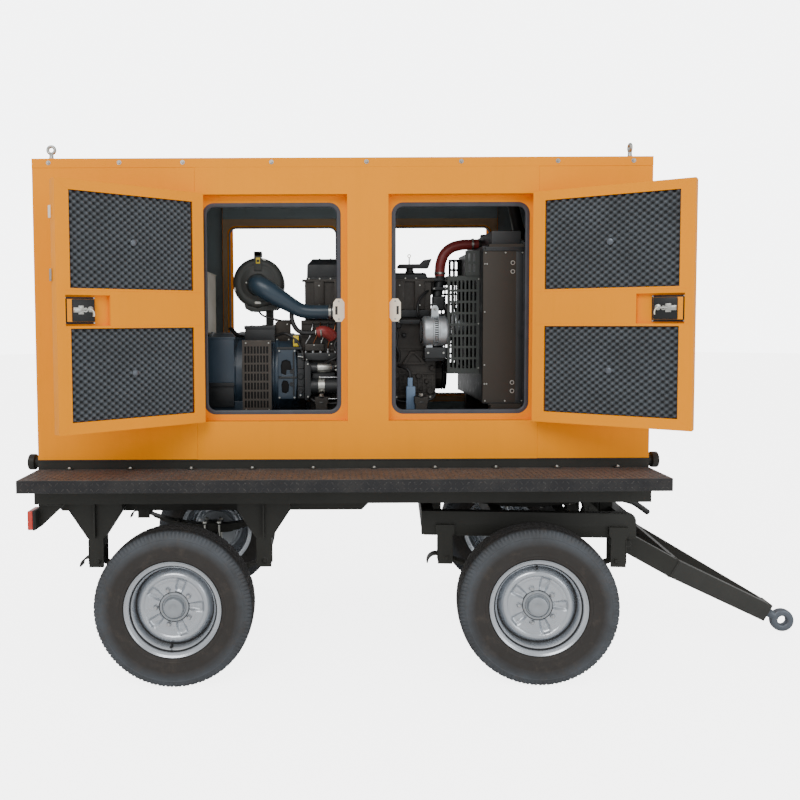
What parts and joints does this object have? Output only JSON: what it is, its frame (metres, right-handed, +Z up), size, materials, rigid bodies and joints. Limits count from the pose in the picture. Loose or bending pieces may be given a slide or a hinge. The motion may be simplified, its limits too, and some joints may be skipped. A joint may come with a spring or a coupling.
{
  "type": "towable diesel generator",
  "caption": "Sound-proof diesel generator canopy with open side doors, carried on a four-wheel turntable trailer with a drawbar.",
  "frame": {"origin": "centre of the footprint at ground level", "axes": "+X towards the drawbar and the front axle, +Y towards the far side, +Z up; the near side, with the brake lever, is -Y"},
  "size_m": [4.0446, 2.079, 2.5844],
  "materials": {
    "amber_paint": "satin enamel",
    "black_paint": "worn satin enamel",
    "deck_plate": "worn checker plate",
    "acoustic_foam": "egg-crate foam",
    "latch_black": "moulded",
    "tyre_rubber": "dusty sidewall",
    "wheel_silver": "silver paint",
    "spring_steel": "black paint",
    "lamp_orange": "moulded lens",
    "cast_iron": "painted casting",
    "engine_black": "engine enamel",
    "generator_black": "satin enamel",
    "filter_black": "powder coat",
    "pipe_blue_grey": "satin enamel",
    "silencer_black": "heat-proof paint",
    "radiator_black": "black paint",
    "guard_black": "powder coat",
    "hose_red": "silicone hose",
    "bare_aluminium": "cast aluminium",
    "cabinet_cream": "powder coat",
    "tank_plastic": "moulded tank",
    "battery_plastic": "moulded case",
    "fan_plastic": "moulded fan",
    "forged_eye": "forged and painted"
  },
  "bodies": {
    "chassis": {"deck_platform": "deck_plate", "chassis_frame": "black_paint", "turntable_ring": "black_paint", "skid_base": "black_paint", "rear_wall": "amber_paint", "front_wall": "amber_paint", "roof_panel": "amber_paint", "near_rear_panel": "amber_paint", "near_front_panel": "amber_paint", "near_door_frame": "amber_paint", "near_tail_light": "lamp_orange", "far_rear_panel": "amber_paint", "far_front_panel": "amber_paint", "far_door_frame": "amber_paint", "far_tail_light": "lamp_orange", "engine_block": "cast_iron", "rocker_cover": "engine_black", "generator_body": "generator_black", "air_filter": "filter_black", "intake_pipe": "pipe_blue_grey", "silencer": "silencer_black", "radiator": "radiator_black", "fan_guard": "guard_black", "coolant_hose": "hose_red", "starter_motor": "engine_black", "charging_alternator": "bare_aluminium", "control_cabinet": "cabinet_cream", "fuel_tank": "tank_plastic", "battery": "battery_plastic", "rear_near_leaf_spring": "spring_steel", "rear_far_leaf_spring": "spring_steel"},
    "near_rear_door": {"near_rear_door": "amber_paint", "near_rear_door_foam": "acoustic_foam"},
    "near_rear_door_latch": {"near_rear_door_latch": "latch_black"},
    "near_front_door": {"near_front_door": "amber_paint", "near_front_door_foam": "acoustic_foam"},
    "near_front_door_latch": {"near_front_door_latch": "latch_black"},
    "far_rear_door": {"far_rear_door": "amber_paint", "far_rear_door_foam": "acoustic_foam"},
    "far_rear_door_latch": {"far_rear_door_latch": "latch_black"},
    "far_front_door": {"far_front_door": "amber_paint", "far_front_door_foam": "acoustic_foam"},
    "far_front_door_latch": {"far_front_door_latch": "latch_black"},
    "rear_axle": {"rear_axle": "black_paint"},
    "rear_near_wheel": {"rear_near_tyre": "tyre_rubber", "rear_near_rim": "wheel_silver"},
    "rear_far_wheel": {"rear_far_tyre": "tyre_rubber", "rear_far_rim": "wheel_silver"},
    "bogie": {"bogie_frame": "black_paint", "front_near_leaf_spring": "spring_steel", "front_far_leaf_spring": "spring_steel"},
    "front_axle": {"front_axle": "black_paint"},
    "front_near_wheel": {"front_near_tyre": "tyre_rubber", "front_near_rim": "wheel_silver"},
    "front_far_wheel": {"front_far_tyre": "tyre_rubber", "front_far_rim": "wheel_silver"},
    "drawbar": {"drawbar": "black_paint"},
    "tow_eye": {"tow_eye": "forged_eye"},
    "brake_lever": {"brake_lever": "black_paint"},
    "engine_fan": {"engine_fan": "fan_plastic"}
  },
  "joints": [
    {"name": "near_rear_door_hinge", "type": "hinge", "parent": "chassis", "child": "near_rear_door", "pos_m": [-1.16527, -0.536, 1.78], "axis": [0, 0, 1], "range_deg": [-20, 141]},
    {"name": "near_rear_door_latch_hinge", "type": "hinge", "parent": "near_rear_door", "child": "near_rear_door_latch", "pos_m": [-1.63434, -0.93399, 1.804], "axis": [0.7771, 0.6293, 0], "range_deg": [0, 40], "stiffness_Nm_per_rad": 1.5, "springref_deg": -20.05},
    {"name": "near_front_door_hinge", "type": "hinge", "parent": "chassis", "child": "near_front_door", "pos_m": [0.48673, -0.536, 1.78], "axis": [0, 0, 1], "range_deg": [-147.3, 15]},
    {"name": "near_front_door_latch_hinge", "type": "hinge", "parent": "near_front_door", "child": "near_front_door_latch", "pos_m": [0.99665, -0.88011, 1.804], "axis": [0.8415, -0.5402, 0], "range_deg": [0, 40], "stiffness_Nm_per_rad": 1.5, "springref_deg": -20.05},
    {"name": "far_rear_door_hinge", "type": "hinge", "parent": "chassis", "child": "far_rear_door", "pos_m": [-1.16527, 0.536, 1.78], "axis": [0, 0, 1], "range_deg": [-141, 20]},
    {"name": "far_rear_door_latch_hinge", "type": "hinge", "parent": "far_rear_door", "child": "far_rear_door_latch", "pos_m": [-1.63434, 0.93399, 1.804], "axis": [-0.7771, 0.6293, 0], "range_deg": [0, 40], "stiffness_Nm_per_rad": 1.5, "springref_deg": -20.05},
    {"name": "far_front_door_hinge", "type": "hinge", "parent": "chassis", "child": "far_front_door", "pos_m": [0.48673, 0.536, 1.78], "axis": [0, 0, 1], "range_deg": [-15, 147.3]},
    {"name": "far_front_door_latch_hinge", "type": "hinge", "parent": "far_front_door", "child": "far_front_door_latch", "pos_m": [0.99665, 0.88011, 1.804], "axis": [-0.8415, -0.5402, 0], "range_deg": [0, 40], "stiffness_Nm_per_rad": 1.5, "springref_deg": -20.05},
    {"name": "rear_suspension", "type": "slide", "parent": "chassis", "child": "rear_axle", "axis": [0, 0, 1], "range_m": [-0.04, 0.05], "stiffness_N_per_m": 400000, "springref_m": -0.0205, "deforming": ["rear_near_leaf_spring", "rear_far_leaf_spring"]},
    {"name": "rear_near_wheel_spin", "type": "hinge", "parent": "rear_axle", "child": "rear_near_wheel", "pos_m": [-1.26027, -0.71, 0.375], "axis": [0, 1, 0], "continuous": true},
    {"name": "rear_far_wheel_spin", "type": "hinge", "parent": "rear_axle", "child": "rear_far_wheel", "pos_m": [-1.26027, 0.71, 0.375], "axis": [0, 1, 0], "continuous": true},
    {"name": "bogie_steer", "type": "hinge", "parent": "chassis", "child": "bogie", "pos_m": [0.50973, 0, 0.785], "axis": [0, 0, 1], "range_deg": [-30.5, 39.5]},
    {"name": "front_suspension", "type": "slide", "parent": "bogie", "child": "front_axle", "axis": [0, 0, 1], "range_m": [-0.04, 0.05], "stiffness_N_per_m": 400000, "springref_m": -0.019, "deforming": ["front_near_leaf_spring", "front_far_leaf_spring"]},
    {"name": "front_near_wheel_spin", "type": "hinge", "parent": "front_axle", "child": "front_near_wheel", "pos_m": [0.45403, -0.70781, 0.375], "axis": [0.0785, 0.9969, 0], "continuous": true},
    {"name": "front_far_wheel_spin", "type": "hinge", "parent": "front_axle", "child": "front_far_wheel", "pos_m": [0.56544, 0.70781, 0.375], "axis": [0.0785, 0.9969, 0], "continuous": true},
    {"name": "drawbar_pitch", "type": "hinge", "parent": "bogie", "child": "drawbar", "pos_m": [1.0062, -0.03907, 0.59], "axis": [-0.0785, -0.9969, 0], "range_deg": [0, 50]},
    {"name": "tow_eye_swivel", "type": "hinge", "parent": "drawbar", "child": "tow_eye", "pos_m": [1.95912, -0.11407, 0.062], "axis": [0.8726, -0.0687, -0.4835], "continuous": true},
    {"name": "brake_lever_pivot", "type": "hinge", "parent": "bogie", "child": "brake_lever", "pos_m": [0.90683, -0.28203, 0.781], "axis": [-0.0785, -0.9969, 0], "range_deg": [0, 30]},
    {"name": "engine_fan_spin", "type": "hinge", "parent": "chassis", "child": "engine_fan", "pos_m": [0.19273, 0, 1.695], "axis": [1, 0, 0], "continuous": true}
  ]
}
